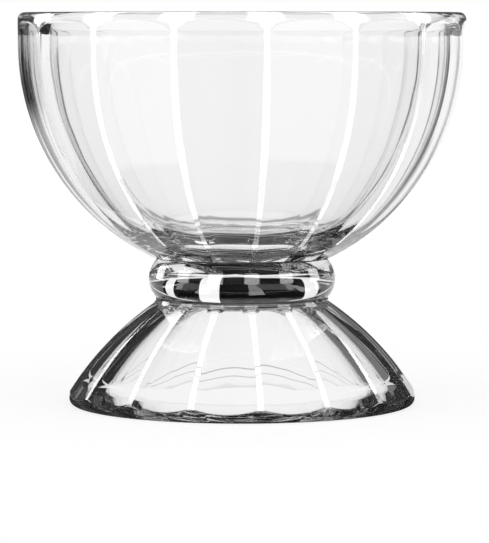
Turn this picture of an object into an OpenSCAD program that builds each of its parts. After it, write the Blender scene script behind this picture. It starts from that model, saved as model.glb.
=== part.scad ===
// Sundae glass: a fluted dessert glass of clear pressed glass, made of three pieces that
// are fused end to end: a deep bowl, a rounded neck ring and a hollow, flared foot.
// It stands on the rim of its foot. The origin is the centre of that resting plane and
// +Z runs up the axis of the glass. All sizes are in millimetres.

/* [Overall] */
// Height from the table to the top of the rim
height = 100; // [94:1:110]
// Number of flat panels round the bowl, and as many in line with them round the foot
panel_count = 16; // [12:1:20]
// Width of the ridge that is left standing between two panels
ridge_w = 1.7; // [1.0:0.1:2.4]

/* [Bowl] */
// Diameter across the rim
rim_d = 114; // [106:1:122]
// Thickness of the bowl's wall before the panels are pressed into it, and of the rim
bowl_wall = 3.6; // [3:0.1:5]
// Height of the upright part of the wall, measured down from the top of the rim
upright_h = 8; // [7:0.5:12]
// Thickness of the glass under the middle of the bowl, down to the neck ring
floor_t = 6; // [4:0.5:9]
// Radius that blends the floor of the bowl into its side
floor_blend = 26; // [18:1:30]
// Plain band between the rounded rim and the top of the panels
plain_band = 0.3; // [0.2:0.1:1.5]
// Height of the arched end at the top of each panel
arch_h = 3; // [2:0.25:3.5]

/* [Neck ring] */
// Diameter of the glass at the two grooves above and below the ring
neck_d = 44.2; // [40:0.2:46]
// Greatest diameter of the ring
ring_d = 47.8; // [46.6:0.2:54]
// Height of the ring from groove to groove
ring_h = 10.3; // [8:0.1:13]

/* [Foot] */
// Diameter of the foot at its rim
foot_d = 88.6; // [80:0.2:98]
// Height of the foot up to the lower groove of the neck ring
foot_h = 27; // [23:0.5:32]
// Radius of the swelling curve of the foot's side
foot_curve = 79; // [60:1:120]
// Height at which the ridges of the foot run out on its rim
edge_h = 3.4; // [2.6:0.1:5]
// Radius of the rim's lower edge
edge_round = 1.5; // [0.8:0.1:2.2]
// Width of the flat ring that the glass stands on
rest_w = 3.2; // [2:0.1:6]
// Height of the plain neck between the foot's panels and the lower groove
neck_band = 0.7; // [0.4:0.1:1.2]
// Thickness of the glass over the hollow of the foot, up to the lower groove
cap_t = 3; // [3:0.5:7]
// Radius that blends the roof of the hollow into its side
cap_blend = 8; // [6:1:14]

/* [Hidden] */
$fn = 128;
clear_glass = [0.88, 0.90, 0.91, 0.45];

rim_r = rim_d / 2;
neck_r = neck_d / 2;
ring_r = ring_d / 2;
foot_r = foot_d / 2;
// Far enough out from the axis to pass the whole glass
reach = 2 * rim_r;

// Levels of the two grooves and of the top of the bowl's curved side
ring_z = foot_h;
bowl_z = ring_z + ring_h;
upright_z = height - upright_h;

// The bowl's side is one arc: upright at the top, and down to the upper groove
bowl_top = [rim_r, upright_z];
bowl_groove = [neck_r, bowl_z];
overhang = rim_r - neck_r;
drop = upright_z - bowl_z;
bowl_curve = (overhang * overhang + drop * drop) / (2 * overhang);
bowl_c = [rim_r - bowl_curve, upright_z];

// The foot's side is one arc from the plain neck down to the rim
foot_top = [neck_r, foot_h - neck_band];
foot_edge = [foot_r, edge_h];
foot_c = arc_centre(foot_top, foot_edge, foot_curve);

// The panels' arcs have the same radii, with their centres drawn in towards the axis
bowl_panel_c = bowl_c + panel_shift(bowl_c, bowl_top, bowl_groove);
foot_panel_c = foot_c + panel_shift(foot_c, foot_edge, foot_top);

// A panel of the bowl ends in an arch, where its flat runs out through the round wall
panel_r = bowl_panel_c[0] + bowl_curve;
arch_depth = rim_r - panel_r;
arch_curve = (arch_depth * arch_depth + arch_h * arch_h) / (2 * arch_depth);
arch_z = height - bowl_wall / 2 - plain_band - arch_h;

// The hollow of the foot follows its side, from the inner edge of the resting ring
rest_outer = foot_r - edge_round;
rest_inner = rest_outer - rest_w;
hollow_curve = norm([rest_inner, 0] - foot_c);

// The ring's bulge is an arc through both grooves and the greatest diameter
bulge = ring_r - neck_r;
ring_curve = (bulge * bulge + ring_h * ring_h / 4) / (2 * bulge);

// Centre, on the axis side, of the circle of radius r through an upper and a lower point
function arc_centre(upper, lower, r) =
    let (chord = lower - upper)
    let (inward = [chord[1], -chord[0]] / norm(chord))
    (upper + lower) / 2 + inward * sqrt(r * r - chord * chord / 4);

// Depth of a flat panel at its middle, where the round surface has radius r
function panel_depth(r) =
    r - sqrt(r * r - pow(r * sin(180 / panel_count) - ridge_w / 2, 2));

// How steeply the surface of an arc about c faces up or down at the point p
function tilt(c, p) = (p[1] - c[1]) / (p[0] - c[0]);

// Move of an arc's centre that sinks it by the panel's depth at its wide and narrow ends
function panel_shift(c, wide, narrow) =
    let (deep = panel_depth(wide[0]))
    let (shallow = panel_depth(narrow[0]))
    let (up = (deep - shallow) / (tilt(c, narrow) - tilt(c, wide)))
    [-deep - tilt(c, wide) * up, up];

// Everything between two levels, from the axis outwards
module strip(low, high) {
    translate([0, low])
        square([reach, high - low]);
}

module disc(c, r) {
    translate(c)
        circle(r);
}

// Profile of a hollow: a side arc about c, a flat end at flat_z and a blend between them.
// side is 1 where the hollow opens upwards and -1 where it opens downwards to mouth_z.
module hollow(c, r, flat_z, blend, side, mouth_z) {
    blend_z = flat_z + side * blend;
    reach_in = r - blend;
    blend_c = [c[0] + sqrt(reach_in * reach_in - pow(blend_z - c[1], 2)), blend_z];
    meet = c + (blend_c - c) * r / reach_in;
    low = min(flat_z, meet[1]);
    high = max(flat_z, meet[1]);
    translate([0, low])
        square([blend_c[0], high - low]);
    intersection() {
        disc(blend_c, blend);
        translate([blend_c[0], low])
            square([reach, high - low]);
    }
    intersection() {
        disc(c, r);
        strip(min(mouth_z, meet[1]), max(mouth_z, meet[1]));
    }
}

// Sets a meridian profile on the middle of every panel and draws it straight across it
module on_each_panel(r) {
    for (i = [0 : panel_count - 1])
        rotate(i * 360 / panel_count)
            rotate([90, 0, 0])
                linear_extrude(height = 2 * r * tan(180 / panel_count), center = true)
                    children();
}

// What a panel takes off the outside of the bowl
module bowl_panel_cut() {
    difference() {
        strip(bowl_z - ring_h / 2, bowl_panel_c[1]);
        disc(bowl_panel_c, bowl_curve);
    }
    translate([panel_r, bowl_panel_c[1]])
        square([reach, arch_z - bowl_panel_c[1]]);
    disc([panel_r + arch_curve, arch_z], arch_curve);
}

// What a panel takes off the outside of the foot
module foot_panel_cut() {
    difference() {
        strip(edge_round, foot_h + neck_band);
        disc(foot_panel_c, foot_curve);
    }
}

// Half section of the bowl, before its panels
module bowl_profile() {
    shoulder_z = height - bowl_wall / 2;
    difference() {
        union() {
            intersection() {
                disc(bowl_c, bowl_curve);
                strip(bowl_z, upright_z);
            }
            translate([0, upright_z])
                square([rim_r, shoulder_z - upright_z]);
        }
        hollow(bowl_c, bowl_curve - bowl_wall, bowl_z + floor_t, floor_blend, 1, upright_z);
        translate([0, upright_z])
            square([rim_r - bowl_wall, upright_h]);
    }
    intersection() {
        disc([rim_r - bowl_wall / 2, shoulder_z], bowl_wall / 2);
        strip(shoulder_z, height);
    }
}

// Half section of the neck ring
module ring_profile() {
    translate([0, ring_z])
        square([neck_r, ring_h]);
    intersection() {
        disc([ring_r - ring_curve, ring_z + ring_h / 2], ring_curve);
        strip(ring_z, bowl_z);
    }
}

// Half section of the foot, before its panels and its plain neck
module foot_profile() {
    difference() {
        union() {
            intersection() {
                disc(foot_c, foot_curve);
                strip(edge_h, foot_h);
            }
            translate([0, edge_round])
                square([foot_r, edge_h - edge_round]);
            square([rest_outer, edge_round]);
            intersection() {
                disc([rest_outer, edge_round], edge_round);
                translate([rest_outer, 0])
                    square(edge_round);
            }
        }
        hollow(foot_c, hollow_curve, foot_h - cap_t, cap_blend, -1, 0);
    }
}

// Deep bowl with flat, arched panels on its outside and a rounded rim
module bowl() {
    color(clear_glass)
        difference() {
            rotate_extrude()
                bowl_profile();
            on_each_panel(rim_r)
                bowl_panel_cut();
        }
}

// Solid, rounded ring between the bowl and the foot
module neck_ring() {
    color(clear_glass)
        rotate_extrude()
            ring_profile();
}

// Flared foot, hollow underneath, with panels that run out on its rim in scallops
module foot() {
    color(clear_glass) {
        difference() {
            rotate_extrude()
                foot_profile();
            on_each_panel(foot_r)
                foot_panel_cut();
        }
        translate([0, 0, foot_h - cap_t / 2])
            cylinder(h = cap_t / 2, r = neck_r);
    }
}

bowl();
neck_ring();
foot();
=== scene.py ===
# %% [markdown]
# A sundae glass of clear pressed glass: a fluted bowl, a rounded neck ring and a flared,
# hollow foot, fused end to end. This lesson turns each piece on a lathe made of Blender's
# own edit tools, presses the flat panels into it, and then lights it as a glassware
# photographer would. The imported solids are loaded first: they fix every outer size.

import math

import bpy
import numpy as np
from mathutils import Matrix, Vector


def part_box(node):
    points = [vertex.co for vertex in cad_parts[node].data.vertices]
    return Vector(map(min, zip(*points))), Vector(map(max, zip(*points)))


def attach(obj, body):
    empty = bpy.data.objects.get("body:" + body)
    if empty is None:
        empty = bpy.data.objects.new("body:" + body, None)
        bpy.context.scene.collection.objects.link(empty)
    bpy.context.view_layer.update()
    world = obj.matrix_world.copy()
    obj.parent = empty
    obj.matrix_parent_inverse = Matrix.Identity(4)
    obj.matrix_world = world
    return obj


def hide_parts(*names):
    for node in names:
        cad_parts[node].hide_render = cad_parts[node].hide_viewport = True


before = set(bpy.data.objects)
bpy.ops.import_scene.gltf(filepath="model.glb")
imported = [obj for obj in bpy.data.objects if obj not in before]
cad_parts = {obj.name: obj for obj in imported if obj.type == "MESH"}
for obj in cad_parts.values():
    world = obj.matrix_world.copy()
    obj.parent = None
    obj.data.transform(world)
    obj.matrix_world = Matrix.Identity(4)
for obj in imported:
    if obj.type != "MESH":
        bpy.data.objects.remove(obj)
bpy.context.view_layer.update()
print("pieces in the frame:", sorted(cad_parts))

# %% [markdown]
# The glass is measured from its solids: the boxes of the three pieces give the rim, the
# ring, the foot and the levels of the two grooves. What a box can't tell, such as a wall
# or a blend, is written here as a size in millimetres. Shapes are worked out in
# millimetres and become metres only when a mesh is drawn.

# %% Sizes of the glass
MM = 0.001
bowl_low, bowl_high = (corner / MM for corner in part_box("bowl"))
ring_low, ring_high = (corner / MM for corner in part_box("neck_ring"))
foot_low, foot_high = (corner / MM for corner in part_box("foot"))

height = bowl_high.z
rim_r = bowl_high.x
ring_r = ring_high.x
foot_r = foot_high.x
upper_groove_z = bowl_low.z
lower_groove_z = ring_low.z

panel_count = 16
half_panel = math.pi / panel_count
ridge_w = 1.7
neck_r = 22.1
fused_r = 21.6

print(f"rim {2 * rim_r:.1f} mm, foot {2 * foot_r:.1f} mm, height {height:.1f} mm")

# %% [markdown]
# The camera stands where the photographer's stood: a little below the rim's level and
# far away, with a long lens, so that the rim is almost a line and the foot a flat ellipse.
# It is turned a few degrees round the glass, which brings one ridge just right of centre.

# %% Camera
picture_w, picture_h = 489, 543
camera_turn = math.radians(5.25)
camera_distance = 800 * MM
camera_height = 97 * MM
aim_height = 33.8 * MM
aim_right = 0.64 * MM
focal_px = 3132
sensor_mm = 36

toward_camera = Vector((math.sin(camera_turn), -math.cos(camera_turn), 0))
picture_right = Vector((math.cos(camera_turn), math.sin(camera_turn), 0))
bpy.ops.object.select_all(action="DESELECT")
bpy.ops.object.camera_add(location=toward_camera * camera_distance + Vector((0, 0, camera_height)))
camera = bpy.context.object
camera.name = "camera"
aim = picture_right * aim_right + Vector((0, 0, aim_height))
camera.rotation_euler = (aim - camera.location).to_track_quat("-Z", "Y").to_euler()
camera.data.sensor_width = sensor_mm
camera.data.lens = focal_px * sensor_mm / max(picture_w, picture_h)
camera.data.clip_end = 50
bpy.context.scene.camera = camera
print(f"lens {camera.data.lens:.1f} mm")

# %% [markdown]
# All three pieces are round, so each starts as a half section that is spun round the axis.
# The section is drawn as by hand: a plane is merged to one vertex, which is then extruded
# from point to point. The spin has the same number of columns in every panel, so that a
# column can later be laid along each edge of a ridge.

# %% A lathe
half_columns = 12
columns = 2 * half_columns * panel_count


def turn_on_lathe(name, section):
    """A closed mesh, spun from a half section given as points (r, z) in millimetres."""
    bpy.ops.object.select_all(action="DESELECT")
    bpy.ops.mesh.primitive_plane_add(size=MM)
    piece = bpy.context.object
    piece.name = name
    piece.data.name = name
    points = [Vector((r, 0, z)) * MM for r, z in section]
    bpy.ops.object.mode_set(mode="EDIT")
    bpy.ops.mesh.select_mode(type="VERT")
    bpy.ops.mesh.select_all(action="SELECT")
    bpy.ops.mesh.merge(type="CENTER")
    bpy.ops.transform.translate(value=points[0])
    for start, end in zip(points, points[1:]):
        bpy.ops.mesh.extrude_vertices_move(TRANSFORM_OT_translate={"value": end - start})
    bpy.ops.mesh.select_all(action="SELECT")
    bpy.ops.mesh.spin(steps=columns, angle=2 * math.pi, center=(0, 0, 0), axis=(0, 0, 1))
    bpy.ops.mesh.select_all(action="SELECT")
    bpy.ops.mesh.remove_doubles(threshold=0.002 * MM)
    bpy.ops.mesh.normals_make_consistent(inside=False)
    bpy.ops.object.mode_set(mode="OBJECT")
    print(f"{name}: {len(section)} points spun to {len(piece.data.polygons)} faces")
    return piece


def arc(centre, radius, start, end, steps):
    """Points on a circle, from one angle to another in degrees, both ends included."""
    turns = np.radians(np.linspace(start, end, steps + 1))
    return [(centre[0] + radius * math.cos(t), centre[1] + radius * math.sin(t)) for t in turns]


def bearing(centre, point):
    """Angle in degrees at which a point of the section is seen from a centre."""
    return math.degrees(math.atan2(point[1] - centre[1], point[0] - centre[0]))


# %% [markdown]
# The mould presses flat panels into the round glass and leaves a narrow ridge between two
# of them. Across the glass, a panel is a straight line and the ridge is a piece of the
# circle, so a point goes to whichever lies further in, with the edge between them eased by
# a fraction of a millimetre. Columns are crowded at that edge, which keeps it crisp: it is
# what draws the bright lines on the glass. A bevel would not follow the ridges as they
# change, so the vertices of the spun mesh are moved by this rule.

# %% The press
edge_ease = 0.22
flat_columns, edge_columns = 5, 3


def eased_min(a, b, ease):
    """The smaller of two values, rounded off where they are within the ease."""
    near = np.maximum(ease - np.abs(a - b), 0)
    return np.minimum(a, b) - near * near / (4 * ease)


def panel_depth(r):
    """Depth of a flat at its middle where the round glass has radius r."""
    return r - math.sqrt(r * r - (r * math.sin(half_panel) - ridge_w / 2) ** 2)


def column_turns(round_r, flat_r):
    """Angles from a panel's middle to its ridge at which the columns stand."""
    edge = math.sqrt(max(round_r**2 - flat_r**2, 4 * edge_ease**2))
    first = math.atan2(edge - edge_ease, flat_r)
    last = math.atan2(edge, flat_r) + edge_ease / round_r
    flat = np.arctan2(np.linspace(0, edge - edge_ease, flat_columns + 1), flat_r)
    eased = np.linspace(first, last, edge_columns + 1)[1:]
    ridge = np.linspace(last, half_panel, half_columns - flat_columns - edge_columns + 1)[1:]
    return np.concatenate([flat, eased, ridge])


def panel_radius(turns, round_r, flat_r):
    """Radius of the pressed glass at each column of half a panel."""
    straight = flat_r / np.cos(turns)
    ease = max(round_r - straight[flat_columns], 0.004)
    return eased_min(round_r, straight, ease)


def press(piece, section, rows):
    """Moves each vertex of a spun piece to its row's place: rows hold turns, radii and levels."""
    co = np.empty(len(piece.data.vertices) * 3)
    piece.data.vertices.foreach_get("co", co)
    co = co.reshape(-1, 3) / MM
    spun = np.column_stack([np.hypot(co[:, 0], co[:, 1]), co[:, 2]])
    gaps = [np.hypot(spun[:, 0] - r, spun[:, 1] - z) for r, z in section]
    row = np.argmin(gaps, axis=0)
    column = np.round(np.arctan2(co[:, 1], co[:, 0]) / (2 * math.pi) * columns).astype(int)
    panel = np.round(column / (2 * half_columns))
    across = column - panel * 2 * half_columns
    pick = np.abs(across).astype(int)
    turns, radii, levels = (np.array(part)[row, pick] for part in zip(*rows))
    turn = panel * 2 * half_panel + np.sign(across) * turns
    placed = np.column_stack([radii * np.cos(turn), radii * np.sin(turn), levels]) * MM
    piece.data.vertices.foreach_set("co", placed.ravel())
    piece.data.update()
    print(f"{piece.name}: pressed, greatest move {np.abs(placed / MM - co).max():.2f} mm")


def plain_row(turns, r, z):
    """A row that stays round."""
    return turns, np.full(half_columns + 1, r), np.full(half_columns + 1, z)


# %% [markdown]
# The bowl's side is one arc that turns upright below the rim. The arc of the panels has
# the same radius about a centre drawn in towards the axis, so the panels are deeper at
# the rim and the ridge keeps its width. Each panel ends in an arch, where its flat
# curves out through the round wall. Inside, the bowl is plain and round.

# %% Bowl
bowl_wall = 3.6
upright_h = 8
floor_t = 6
floor_blend = 26
plain_band = 0.3
arch_h = 3

upright_z = height - upright_h
rim_z = height - bowl_wall / 2
overhang, drop = rim_r - neck_r, upright_z - upper_groove_z
bowl_curve = (overhang**2 + drop**2) / (2 * overhang)
bowl_c = (rim_r - bowl_curve, upright_z)
steepness = -drop / (neck_r - bowl_c[0])
rise = (panel_depth(rim_r) - panel_depth(neck_r)) / steepness
bowl_panel_c = (bowl_c[0] - panel_depth(rim_r), bowl_c[1] + rise)
arch_z = rim_z - plain_band - arch_h
panel_r = bowl_panel_c[0] + bowl_curve
arch_depth = rim_r - panel_r
arch_curve = (arch_depth**2 + arch_h**2) / (2 * arch_depth)


def side_radius(centre, curve, z):
    """Radius of a side that is an arc below its centre's level and upright above it."""
    return centre[0] + math.sqrt(curve**2 - min(z - centre[1], 0) ** 2)


def arch_row(turns, share):
    """A row in the arched end: share runs from 0 at its foot to 1 at its edge, 2 at the rim."""
    reach = np.clip(rim_r * np.cos(turns) - panel_r, 0, arch_depth)
    top = arch_z + np.maximum(np.sqrt(arch_curve**2 - (arch_curve - reach) ** 2), 0.1 * arch_h)
    below, above = min(share, 1), max(share - 1, 0)
    z = arch_z + below * (top - arch_z) + above * (rim_z - top)
    out = arch_curve - np.sqrt(np.maximum(arch_curve**2 - np.minimum(z - arch_z, arch_h) ** 2, 0))
    return turns, eased_min(rim_r, (panel_r + out) / np.cos(turns), 0.05), z


inside_curve = bowl_curve - bowl_wall
blend_z = upper_groove_z + floor_t + floor_blend
blend_reach = inside_curve - floor_blend
blend_c = (bowl_c[0] + math.sqrt(blend_reach**2 - (blend_z - bowl_c[1]) ** 2), blend_z)
blend_start = bearing(bowl_c, blend_c)

joint = [(0, upper_groove_z), (0.5 * fused_r, upper_groove_z), (fused_r, upper_groove_z)]
groove_turn = bearing(bowl_c, (neck_r, upper_groove_z))
side = arc(bowl_c, bowl_curve, groove_turn, 0, 44)
side += [(rim_r, z) for z in np.linspace(upright_z, arch_z, 4)[1:]]
arch_shares = [0.15, 0.3, 0.45, 0.6, 0.72, 0.82, 0.9, 0.96, 1, 1.2, 1.6]
arch = [(rim_r, arch_z + (rim_z - arch_z) * share / 2) for share in arch_shares]
rim = arc((rim_r - bowl_wall / 2, rim_z), bowl_wall / 2, 0, 180, 16)
inside = [(rim_r - bowl_wall, (rim_z + upright_z) / 2)]
inside += arc(bowl_c, inside_curve, 0, blend_start, 30)
inside += arc(blend_c, floor_blend, blend_start, -90, 14)[1:]
inside += [(share * blend_c[0], blend_z - floor_blend) for share in (0.6, 0.25, 0)]

bowl_section = joint + side + arch + rim + inside
bowl_rows = []
for r, z in side:
    flat_r = side_radius(bowl_panel_c, bowl_curve, z)
    turns = column_turns(r, flat_r)
    bowl_rows.append((turns, panel_radius(turns, r, flat_r), np.full(half_columns + 1, z)))
neck_turns, rim_turns = bowl_rows[0][0], bowl_rows[-1][0]
bowl_rows = [plain_row(neck_turns, r, z) for r, z in joint] + bowl_rows
bowl_rows += [arch_row(rim_turns, share) for share in arch_shares]
bowl_rows += [plain_row(rim_turns, r, z) for r, z in rim + inside]

bowl = turn_on_lathe("glass_bowl", bowl_section)
press(bowl, bowl_section, bowl_rows)

# %% [markdown]
# The neck ring is a solid, barrel-shaped ring. It meets the bowl and the foot on a disc
# that is a little smaller than the groove, so that a fine crease runs round each joint.

# %% Neck ring
ring_h = upper_groove_z - lower_groove_z
ring_mid_z = (upper_groove_z + lower_groove_z) / 2
bulge = ring_r - fused_r
ring_curve = (bulge**2 + ring_h**2 / 4) / (2 * bulge)
ring_c = (ring_r - ring_curve, ring_mid_z)
ring_turn = bearing(ring_c, (fused_r, upper_groove_z))
ring_section = [(0, lower_groove_z), (0.5 * fused_r, lower_groove_z)]
ring_section += arc(ring_c, ring_curve, -ring_turn, ring_turn, 30)
ring_section += [(0.5 * fused_r, upper_groove_z), (0, upper_groove_z)]
ring = turn_on_lathe("glass_neck_ring", ring_section)

# %% [markdown]
# The foot swells outwards in one arc. Its panels run right down to the rim and end there
# in a row of scallops, because a flat meets the upright rim lower than a ridge does.
# Underneath it is hollow and stands on a narrow flat ring, with a bead inside that thickens
# the rim and gathers the dark band that the eye sees there.

# %% Foot
foot_curve = 79
neck_band = 0.7
edge_h = 3.4
edge_round = 1.5
rest_w = 3.2
rest_round = 0.9
bead_h, bead_ease, bead_run_out = 3.4, 0.9, 1.8
bead_slope = math.radians(40)
lip_flat, lip_rise = 0.5, 0.4
cap_t = 3
cap_blend = 8

foot_top, foot_edge = np.array([neck_r, lower_groove_z - neck_band]), np.array([foot_r, edge_h])
chord = foot_edge - foot_top
inward = np.array([chord[1], -chord[0]]) / np.hypot(*chord)
foot_c = (foot_top + foot_edge) / 2 + inward * math.sqrt(foot_curve**2 - chord @ chord / 4)
slope_edge, slope_top = ((p[1] - foot_c[1]) / (p[0] - foot_c[0]) for p in (foot_edge, foot_top))
rise = (panel_depth(foot_r) - panel_depth(neck_r)) / (slope_top - slope_edge)
foot_panel_c = foot_c + np.array([-panel_depth(foot_r) - slope_edge * rise, rise])

run, climb = neck_r - foot_c[0], lower_groove_z - foot_c[1]
neck_fillet = (run**2 + climb**2 - foot_curve**2) / (2 * (foot_curve - run))
fillet_c = np.array([neck_r + neck_fillet, lower_groove_z])
fillet_end = foot_c + (fillet_c - foot_c) * foot_curve / (foot_curve + neck_fillet)

rest_outer = foot_r - edge_round
rest_inner = rest_outer - rest_w
hollow_curve = math.hypot(rest_inner - foot_c[0], foot_c[1])
cap_z = lower_groove_z - cap_t
cap_c_z = cap_z - cap_blend
cap_reach = math.sqrt((hollow_curve - cap_blend) ** 2 - (cap_c_z - foot_c[1]) ** 2)
cap_c = (foot_c[0] + cap_reach, cap_c_z)
cap_start = bearing(foot_c, cap_c)


def foot_side(centre, z):
    """Radius of one of the foot's two arcs at a level."""
    return centre[0] + np.sqrt(foot_curve**2 - (z - centre[1]) ** 2)


def foot_row(share):
    """A row of the panels: share runs from 0 at the neck to 1 at the scalloped edge."""
    turns = column_turns(foot_r, foot_r - panel_depth(foot_r))
    reach = np.minimum(foot_r * np.cos(turns), foot_side(foot_panel_c, edge_h - 2 * ridge_w))
    level = foot_panel_c[1] + np.sqrt(foot_curve**2 - (reach - foot_panel_c[0]) ** 2)
    level = np.minimum(level, edge_h)
    z = fillet_end[1] + share * (level - fillet_end[1])
    middle = float(z[half_columns])
    turns = column_turns(foot_side(foot_c, middle), foot_side(foot_panel_c, middle))
    straight = foot_side(foot_panel_c, z) / np.cos(turns)
    return turns, eased_min(eased_min(foot_side(foot_c, z), straight, 0.04), foot_r, 0.12), z


top_disc = [(0, lower_groove_z), (0.5 * fused_r, lower_groove_z), (fused_r, lower_groove_z)]
fillet = arc(fillet_c, neck_fillet, 180, bearing(fillet_c, fillet_end) % 360, 6)[:-1]
foot_shares = np.concatenate([np.linspace(0, 0.9, 28), [0.93, 0.955, 0.975, 0.99, 1]])
side = [(foot_side(foot_c, z), z) for z in fillet_end[1] + foot_shares * (edge_h - fillet_end[1])]
band_shares = [0.15, 0.35, 0.65, 1]
band = [(foot_r, edge_h + share * (edge_round - edge_h)) for share in band_shares]
under = arc((rest_outer, edge_round), edge_round, 0, -90, 8)[1:]


def rounded(start, corner, end, steps):
    """A corner of the section, rounded from one point to another."""
    start, corner, end = np.array(start), np.array(corner), np.array(end)
    return [tuple((1 - t) ** 2 * start + 2 * t * (1 - t) * corner + t * t * end)
            for t in np.linspace(0, 1, steps + 1)]


bevel = 1 / math.tan(bead_slope)
bevel_r = rest_inner + rest_round
bead_top_z = bead_h + bead_run_out
bead_top = (foot_c[0] + math.sqrt(hollow_curve**2 - (bead_top_z - foot_c[1]) ** 2), bead_top_z)
bead_start = (bevel_r - (bead_h - bead_ease) * bevel, bead_h - bead_ease)
lip = rounded((bevel_r + lip_flat, 0), (bevel_r, 0), (bevel_r - lip_rise * bevel, lip_rise), 4)
lip += rounded(bead_start, (bevel_r - bead_h * bevel, bead_h), bead_top, 6)
hollow = arc(foot_c, hollow_curve, bearing(foot_c, bead_top), cap_start, 24)[1:]
hollow += arc(cap_c, cap_blend, cap_start, 90, 10)[1:]
hollow += [(share * cap_c[0], cap_z) for share in (0.6, 0.25, 0)]

foot_section = top_disc + fillet + side + band + under + lip + hollow
foot_rows = [foot_row(share) for share in foot_shares]
neck_turns, edge_turns, edge_levels = foot_rows[0][0], foot_rows[-1][0], foot_rows[-1][2]
upright = np.full(half_columns + 1, foot_r)
pressed_band = [(edge_turns, upright, edge_levels + share * (edge_round - edge_levels))
                for share in band_shares]
foot_rows = [plain_row(neck_turns, r, z) for r, z in top_disc + fillet] + foot_rows + pressed_band
foot_rows += [plain_row(edge_turns, r, z) for r, z in under + lip + hollow]

foot = turn_on_lathe("glass_foot", foot_section)
press(foot, foot_section, foot_rows)

# %% [markdown]
# Materials and lights are built from shader nodes. A small helper adds a node, sets it and
# links it in one line, so that a chain of nodes reads like a sum. Colours are written as
# on the screen and turned into the linear values that a shader works with.

# %% Node tools
def linear(code):
    """A screen colour, written as #rrggbb, as the linear colour of a shader."""
    parts = [int(code[i:i + 2], 16) / 255 for i in (1, 3, 5)]
    return (*(p / 12.92 if p <= 0.04045 else ((p + 0.055) / 1.055) ** 2.4 for p in parts), 1)


def add_node(tree, kind, inputs=(), **settings):
    """Adds a node and gives its output; inputs, in order or by name, are values or outputs."""
    node = tree.nodes.new(kind)
    for name, value in settings.items():
        setattr(node, name, value)
    for key, value in inputs.items() if isinstance(inputs, dict) else enumerate(inputs):
        if isinstance(value, bpy.types.NodeSocket):
            tree.links.new(value, node.inputs[key])
        else:
            node.inputs[key].default_value = value
    return next(socket for socket in node.outputs if socket.enabled)


def blend(tree, share, none, full):
    """One value where the share is 0, the other where it is 1."""
    return add_node(tree, "ShaderNodeMapRange", (share, 0.0, 1.0, none, full))


# %% [markdown]
# Clear glass has next to no colour of its own: what the eye sees in it is its surroundings,
# bent and mirrored. Glass from a press isn't quite even, though. The mould chills its skin,
# which leaves swells about a centimetre long and a few hundredths of a millimetre deep; they
# make the lines that show through the glass waver. It is as good as
# colourless, and handling leaves the polish a little softer in some places than in others.

# %% Glass
swell_depth = 0.06
swells_per_m = 80
softest_polish = 0.004

glass = bpy.data.materials.new("soda_lime_glass_pressed_and_fire_polished")
glass.use_nodes = True
tree = glass.node_tree
shader = tree.nodes["Principled BSDF"]
shader.inputs["Transmission Weight"].default_value = 1
shader.inputs["IOR"].default_value = 1.52
place = tree.nodes.new("ShaderNodeTexCoord").outputs["Object"]
swells = add_node(tree, "ShaderNodeTexNoise",
                  {"Vector": place, "Scale": swells_per_m, "Detail": 1.0})
bump = add_node(tree, "ShaderNodeBump",
                {"Strength": 1.0, "Distance": swell_depth * MM, "Height": swells})
tint = add_node(tree, "ShaderNodeMixRGB", (swells, linear("#fefefe"), linear("#ffffff")))
polish = add_node(tree, "ShaderNodeTexNoise",
                  {"Vector": place, "Scale": 4 * swells_per_m, "Detail": 3.0})
tree.links.new(tint, shader.inputs["Base Color"])
tree.links.new(blend(tree, polish, 0.0, softest_polish), shader.inputs["Roughness"])
tree.links.new(bump, shader.inputs["Normal"])
print(f"{glass.name}: swells {swell_depth} mm deep, about {1000 / swells_per_m:.0f} mm long")

# %% [markdown]
# Where the pieces were melted together the glass runs through without a surface. The discs
# of the two joints therefore get a clear material that light passes without bending. They
# are picked out by their level, and everything else keeps the glass.

# %% Fused joints
fused = bpy.data.materials.new("soda_lime_glass_fused_joint")
fused.use_nodes = True
tree = fused.node_tree
tree.nodes.remove(tree.nodes["Principled BSDF"])
clear = add_node(tree, "ShaderNodeBsdfTransparent")
tree.links.new(clear, tree.nodes["Material Output"].inputs["Surface"])


def dress(piece, node, joints):
    """Smooth shading and glass all over a piece, and the clear joint on its joints' discs."""
    bpy.ops.object.select_all(action="DESELECT")
    piece.select_set(True)
    bpy.context.view_layer.objects.active = piece
    bpy.ops.object.shade_smooth_by_angle(angle=math.radians(35))
    piece.data.materials.append(glass)
    piece.data.materials.append(fused)
    in_joints = 0
    for face in piece.data.polygons:
        r, z = math.hypot(face.center.x, face.center.y) / MM, face.center.z / MM
        if r < fused_r and min(abs(z - level) for level in joints) < 0.01:
            face.material_index = 1
            in_joints += 1
    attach(piece, "root")
    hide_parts(node)
    print(f"{piece.name}: {in_joints} of {len(piece.data.polygons)} faces lie in a joint")


dress(bowl, "bowl", [upper_groove_z])
dress(ring, "neck_ring", [lower_groove_z, upper_groove_z])
dress(foot, "foot", [lower_groove_z])

# %% [markdown]
# Glass is lit by what it is shown. A photographer stands black and white cards round it, and
# moves each until it falls in the right part of the glass. Here every ray knows what it has
# been through, so floor and sky can serve as those cards: they show one tone to rays that
# come straight through the glass, another to rays mirrored on its outside, and others again
# to rays mirrored once or more often inside it. This cell sorts the rays by their path.

# %% Sorting the rays
def calc(tree, operation, *inputs):
    return add_node(tree, "ShaderNodeMath", inputs, operation=operation)


def ramp(tree, value, low, high):
    """0 up to the low value, 1 from the high one on, and a soft step between them."""
    return add_node(tree, "ShaderNodeMapRange", (value, low, high),
                    interpolation_type="SMOOTHSTEP")


def between(tree, value, low, high, soft):
    """1 between two values and 0 outside them, with soft ends."""
    start = ramp(tree, value, low - soft, low + soft)
    return calc(tree, "SUBTRACT", start, ramp(tree, value, high - soft, high + soft))


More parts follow.
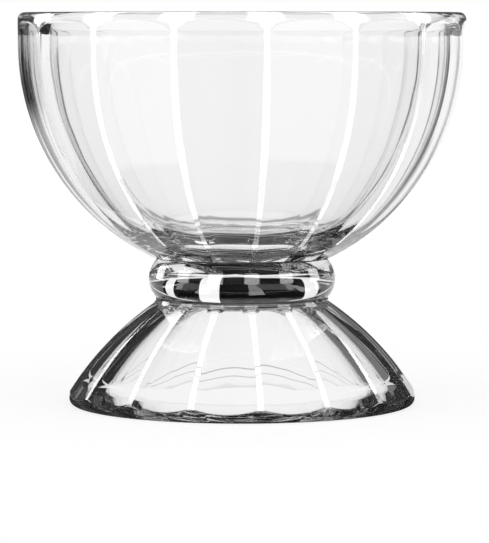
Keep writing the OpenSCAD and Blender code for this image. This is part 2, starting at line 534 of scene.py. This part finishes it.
def along(tree, vector, axis):
    """How far a vector reaches along an axis."""
    return add_node(tree, "ShaderNodeVectorMath", (vector, tuple(axis)), operation="DOT_PRODUCT")


def heading(tree, vector):
    """Degrees to the right of straight behind the glass, as the camera sees it."""
    side, away = along(tree, vector, picture_right), along(tree, vector, -toward_camera)
    return calc(tree, "DEGREES", calc(tree, "ARCTAN2", side, away))


class Rays:
    """What a ray has been through: each share is 1 for the rays it names and 0 for others."""

    def __init__(self, tree):
        path = tree.nodes.new("ShaderNodeLightPath").outputs

        def more(name, count):
            return calc(tree, "GREATER_THAN", path[name], count - 0.5)

        def without(rays, others):
            return calc(tree, "SUBTRACT", rays, calc(tree, "MULTIPLY", rays, others))

        self.camera = path["Is Camera Ray"]
        self.lighting = more("Diffuse Depth", 1)
        seeing = calc(tree, "SUBTRACT", 1.0, self.lighting)
        self.through = calc(tree, "MULTIPLY", more("Transmission Depth", 1), seeing)
        self.inside = calc(tree, "MULTIPLY", self.through, more("Glossy Depth", 1))
        thick = without(self.through, more("Transmission Depth", 3))
        self.deep = calc(tree, "MULTIPLY", thick, more("Glossy Depth", 2))
        self.solid = without(thick, more("Glossy Depth", 1))
        self.outside = without(more("Glossy Depth", 1), more("Transmission Depth", 1))


# %% [markdown]
# A ridge is a narrow mirror. It sends the eye's ray back at twice its own turn from the
# camera, so the ridges of the bowl look along bright spokes on the floor, and panels look
# between them, where every second field is lighter, as neighbouring panels are. Far behind
# on the left lies a black card: the bowl's left edge mirrors it as one dark streak. Seen
# through the glass the floor is white, with a soft grey ring that draws fine lines low in
# the bowl and the foot. Rays mirrored often inside the glass find it dark. Ten turns are
# added to the angles, so that spokes are counted from above zero.

# %% Floor
floor_glow, glow_share = 1.17, 0.6
spoke_light, spoke_share, spoke_start = 4.0, 0.1, (0.090, 0.100)
field_tones, front_turn = (0.1, 1.3), 70.0
black, white_tone = 0.01, 1.0
inside_tone, inside_start = 0.9, (0.140, 0.160)
deep_tone, deep_start, deep_shares = 0.01, (0.100, 0.140), (0.45, 1.0)
right_turn, right_start = (0, 10), (0.300, 0.400)
shade_tone, shade_ring, shade_soft = 0.4, (0.090, 0.120), 0.010
card_outside, card_inside = (-65, -12), (-44, 0)
card_distance = (0.35, 0.65)
ten_turns = 3600
fibres_per_m = 900.0

camera_azimuth = math.atan2(toward_camera.y, toward_camera.x)
first_ridge = math.degrees(math.remainder(half_panel - camera_azimuth, 2 * half_panel))
panel_turn = math.degrees(2 * half_panel)


def near_whole(tree, count, share):
    """1 where a count is within a share of a whole number."""
    off = calc(tree, "PINGPONG", count, 0.5)
    return calc(tree, "SUBTRACT", 1.0, ramp(tree, off, share - 0.03, share + 0.03))


bpy.ops.object.select_all(action="DESELECT")
bpy.ops.mesh.primitive_plane_add(size=80, location=(0, 0, -0.05 * MM))
floor = bpy.context.object
floor.name = "floor"
paper = bpy.data.materials.new("white_paper_sweep")
paper.use_nodes = True
tree = paper.node_tree
tree.nodes.remove(tree.nodes["Principled BSDF"])
rays = Rays(tree)
place = tree.nodes.new("ShaderNodeTexCoord").outputs["Object"]
reach = add_node(tree, "ShaderNodeVectorMath", (place,), operation="LENGTH")
turn = heading(tree, place)
card = ramp(tree, reach, *card_distance)

spoke_zero = ten_turns + 180 - 2 * first_ridge
spokes = calc(tree, "DIVIDE", calc(tree, "SUBTRACT", spoke_zero, turn), 2 * panel_turn)
lighter = calc(tree, "LESS_THAN", calc(tree, "FRACT", calc(tree, "DIVIDE", spokes, 2.0)), 0.5)
fields = blend(tree, lighter, *field_tones)
before = blend(tree, near_whole(tree, spokes, spoke_share), fields, spoke_light)
before = blend(tree, ramp(tree, reach, *spoke_start), black, before)
behind = calc(tree, "MULTIPLY", card, between(tree, turn, *card_outside, 3))
behind = blend(tree, behind, white_tone, black)
in_front = calc(tree, "GREATER_THAN", calc(tree, "ABSOLUTE", turn), front_turn)
outside = blend(tree, in_front, behind, before)

far = calc(tree, "MULTIPLY", card, between(tree, turn, *card_inside, 2))
far = blend(tree, far, white_tone, black)
inside = blend(tree, ramp(tree, reach, *inside_start), inside_tone, far)
right_far = calc(tree, "MULTIPLY", ramp(tree, turn, *right_turn), ramp(tree, reach, *right_start))
deep_far = calc(tree, "MULTIPLY", far, blend(tree, right_far, *deep_shares))
deep = blend(tree, ramp(tree, reach, *deep_start), deep_tone, deep_far)
through = blend(tree, between(tree, reach, *shade_ring, shade_soft), white_tone, shade_tone)

glow = blend(tree, rays.camera, 0.0, floor_glow)
glow = blend(tree, rays.through, glow, through)
glow = blend(tree, rays.inside, glow, inside)
glow = blend(tree, rays.deep, glow, deep)
glow = blend(tree, rays.outside, glow, outside)
fibres = add_node(tree, "ShaderNodeTexNoise",
                  {"Vector": place, "Scale": fibres_per_m, "Detail": 2.0})
white = add_node(tree, "ShaderNodeMixRGB", (fibres, linear("#f2f2f2"), linear("#f6f6f6")))
matte = add_node(tree, "ShaderNodeBsdfDiffuse", (white, 0.5))
shine = add_node(tree, "ShaderNodeEmission", (linear("#ffffff"), glow))
share = calc(tree, "MULTIPLY", rays.camera, glow_share)
share = calc(tree, "MAXIMUM", share, calc(tree, "MAXIMUM", rays.through, rays.outside))
surface = add_node(tree, "ShaderNodeMixShader", (share, matte, shine))
tree.links.new(surface, tree.nodes["Material Output"].inputs["Surface"])
floor.data.materials.append(paper)
print(f"floor: {180 / panel_turn:.0f} spokes, the first turned {2 * first_ridge:.1f} degrees")

# %% [markdown]
# The neck ring is solid, so it works as a strong lens and shows the whole room at once. A low
# black board behind the glass darkens it, and gaps in the board are its bright windows. Only
# rays that have passed through solid glass see the board, so nothing else is darkened.

# %% Black board behind the glass
board_distance, board_height, board_half = 150, 75, 600
board_gaps = ((7.2, 14.8), (30, 38), (-38, -26))

bpy.ops.object.select_all(action="DESELECT")
bpy.ops.mesh.primitive_grid_add(x_subdivisions=1200, y_subdivisions=1, size=2)
board = bpy.context.object
board.name = "black_board"
for vertex in board.data.vertices:
    level = (vertex.co.y + 1) / 2 * board_height
    vertex.co = (picture_right * vertex.co.x * board_half - toward_camera * board_distance) * MM
    vertex.co.z = level * MM
bpy.ops.object.mode_set(mode="EDIT")
bpy.ops.mesh.select_all(action="DESELECT")
bpy.ops.object.mode_set(mode="OBJECT")
for face in board.data.polygons:
    side = face.center.dot(picture_right) / MM
    turned = math.degrees(math.atan2(side, board_distance))
    face.select = any(low < turned < high for low, high in board_gaps)
bpy.ops.object.mode_set(mode="EDIT")
bpy.ops.mesh.delete(type="FACE")
bpy.ops.object.mode_set(mode="OBJECT")
board.visible_camera = board.visible_diffuse = False
board.visible_glossy = board.visible_shadow = False

black_paint = bpy.data.materials.new("black_board_matt_paint")
black_paint.use_nodes = True
tree = black_paint.node_tree
tree.nodes.remove(tree.nodes["Principled BSDF"])
clear = add_node(tree, "ShaderNodeBsdfTransparent")
dark = add_node(tree, "ShaderNodeEmission", (linear("#0c0c0c"), 1.0))
surface = add_node(tree, "ShaderNodeMixShader", (Rays(tree).solid, clear, dark))
tree.links.new(surface, tree.nodes["Material Output"].inputs["Surface"])
board.data.materials.append(black_paint)
print(f"black board: {len(board.data.polygons)} faces, {len(board_gaps)} gaps")

# %% [markdown]
# Low on the bowl the ridges look down on the foot instead of the floor, and high on the foot
# they look up at the bowl instead of the sky. Thin strips of light lie between the two, each
# where its ridge mirrors it: a ray from the camera is reflected on the ridge at a few tilts,
# and followed to the level of the strips. They shine to one side, in mirrored rays only.

# %% Light strips between bowl and foot
strip_level, strip_spread, strip_margin = 29, math.radians(4), 1.2
bowl_tilts = (-56, -50, -44, -38, -32, -28, -24)
foot_tilts = (54, 50, 46, 42, 38, 33)
strip_glow, patches_per_m = (4.2, 4.8), 60.0
widest_turn = math.radians(58)

glowing = bpy.data.materials.new("light_strip_diffused")
glowing.use_nodes = True
tree = glowing.node_tree
tree.nodes.remove(tree.nodes["Principled BSDF"])
place = tree.nodes.new("ShaderNodeTexCoord").outputs["Object"]
uneven = add_node(tree, "ShaderNodeTexNoise",
                  {"Vector": place, "Scale": patches_per_m, "Detail": 1.0})
light = add_node(tree, "ShaderNodeEmission", (linear("#ffffff"), blend(tree, uneven, *strip_glow)))
clear = add_node(tree, "ShaderNodeBsdfTransparent")
behind_strip = tree.nodes.new("ShaderNodeNewGeometry").outputs["Backfacing"]
surface = add_node(tree, "ShaderNodeMixShader", (behind_strip, light, clear))
tree.links.new(surface, tree.nodes["Material Output"].inputs["Surface"])


def mirrored_spot(centre, curve, ridge_turn, tilt):
    """Where the eye's ray ends on the strips' level, mirrored by a ridge, and the way it went."""
    out, up = Vector((math.cos(ridge_turn), math.sin(ridge_turn), 0)), Vector((0, 0, 1))
    normal = out * math.cos(tilt) + up * math.sin(tilt)
    spot = (out * float(centre[0]) + up * float(centre[1]) + normal * curve) * MM
    ray = (spot - camera.location).normalized().reflect(normal)
    way = (strip_level * MM - spot.z) / ray.z
    return spot + ray * way, way


def lay_strip(name, spots, side):
    """A grid of one row of faces along the spots; side is 1 to shine upwards and -1 down."""
    last = len(spots) - 1
    bpy.ops.object.select_all(action="DESELECT")
    bpy.ops.mesh.primitive_grid_add(x_subdivisions=last, y_subdivisions=1, size=2)
    strip = bpy.context.object
    strip.name = name
    for vertex in strip.data.vertices:
        step = round((vertex.co.x + 1) / 2 * last)
        ahead = spots[min(step + 1, last)][0] - spots[max(step - 1, 0)][0]
        across = Vector((0, 0, side)).cross(ahead).normalized()
        spot, way = spots[step]
        half_width = way * math.tan(strip_spread) + strip_margin * MM
        vertex.co = spot + across * vertex.co.y * half_width
    strip.data.update()
    strip.data.materials.append(glowing)
    strip.visible_camera = strip.visible_diffuse = False
    strip.visible_transmission = strip.visible_shadow = False


ridge_turns = [(2 * number + 1) * half_panel for number in range(panel_count)]
facing = [t for t in ridge_turns
          if abs(math.remainder(t - camera_azimuth, 2 * math.pi)) < widest_turn]
for number, ridge_turn in enumerate(facing, 1):
    on_bowl = [mirrored_spot(bowl_c, bowl_curve, ridge_turn, math.radians(t)) for t in bowl_tilts]
    on_foot = [mirrored_spot(foot_c, foot_curve, ridge_turn, math.radians(t)) for t in foot_tilts]
    lay_strip(f"bowl_strip_{number}", on_bowl, 1)
    lay_strip(f"foot_strip_{number}", on_foot, -1)
print(f"strips of light: {len(facing)} for the bowl and {len(facing)} for the foot")

# %% [markdown]
# The sky is white to the camera and through the glass, and a shade greyer high up, which
# gives the panels of the foot their tone. In rays mirrored inside the glass it is dark: those
# are the dark lines of the foot, the ring and the bottom of the bowl. On the outside the
# foot's ridges look up at strips of light: a strip stands where the direction half way
# between the ray and the camera points along a ridge.

# %% World
sky_high, sky_fade = 0.75, (0.3, 0.7)
sky_inside, inside_fade = (0.02, 0.2), (-6, 6)
room, strip_light, strip_share = 0.1, 7.0, 0.2
sky_lighting = 0.85
furthest_back = -0.75
bounces = 32

world = bpy.data.worlds.new("studio")
bpy.context.scene.world = world
world.use_nodes = True
tree = world.node_tree
rays = Rays(tree)
direction = tree.nodes.new("ShaderNodeTexCoord").outputs["Generated"]
up = along(tree, direction, (0, 0, 1))
turn = heading(tree, direction)

inside = blend(tree, ramp(tree, turn, *inside_fade), *sky_inside)
half_way = add_node(tree, "ShaderNodeVectorMath", (direction, tuple(toward_camera)),
                    operation="ADD")
ridge_zero = ten_turns + 180 - first_ridge
ridges = calc(tree, "SUBTRACT", ridge_zero, heading(tree, half_way))
ridges = calc(tree, "DIVIDE", ridges, panel_turn)
before = calc(tree, "GREATER_THAN", along(tree, direction, toward_camera), furthest_back)
strips = calc(tree, "MULTIPLY", near_whole(tree, ridges, strip_share), before)

value = blend(tree, ramp(tree, up, *sky_fade), white_tone, sky_high)
value = blend(tree, rays.inside, value, inside)
value = blend(tree, rays.deep, value, deep_tone)
value = blend(tree, rays.outside, value, blend(tree, strips, room, strip_light))
value = blend(tree, rays.lighting, value, sky_lighting)
value = blend(tree, rays.camera, value, white_tone)
background = tree.nodes["Background"]
background.inputs["Color"].default_value = linear("#ffffff")
tree.links.new(value, background.inputs["Strength"])

scene = bpy.context.scene
scene.view_settings.view_transform = "Standard"
scene.cycles.max_bounces = bounces
scene.cycles.transmission_bounces = bounces
scene.cycles.glossy_bounces = bounces
scene.cycles.transparent_max_bounces = bounces
print(f"world: {len(tree.nodes)} nodes")
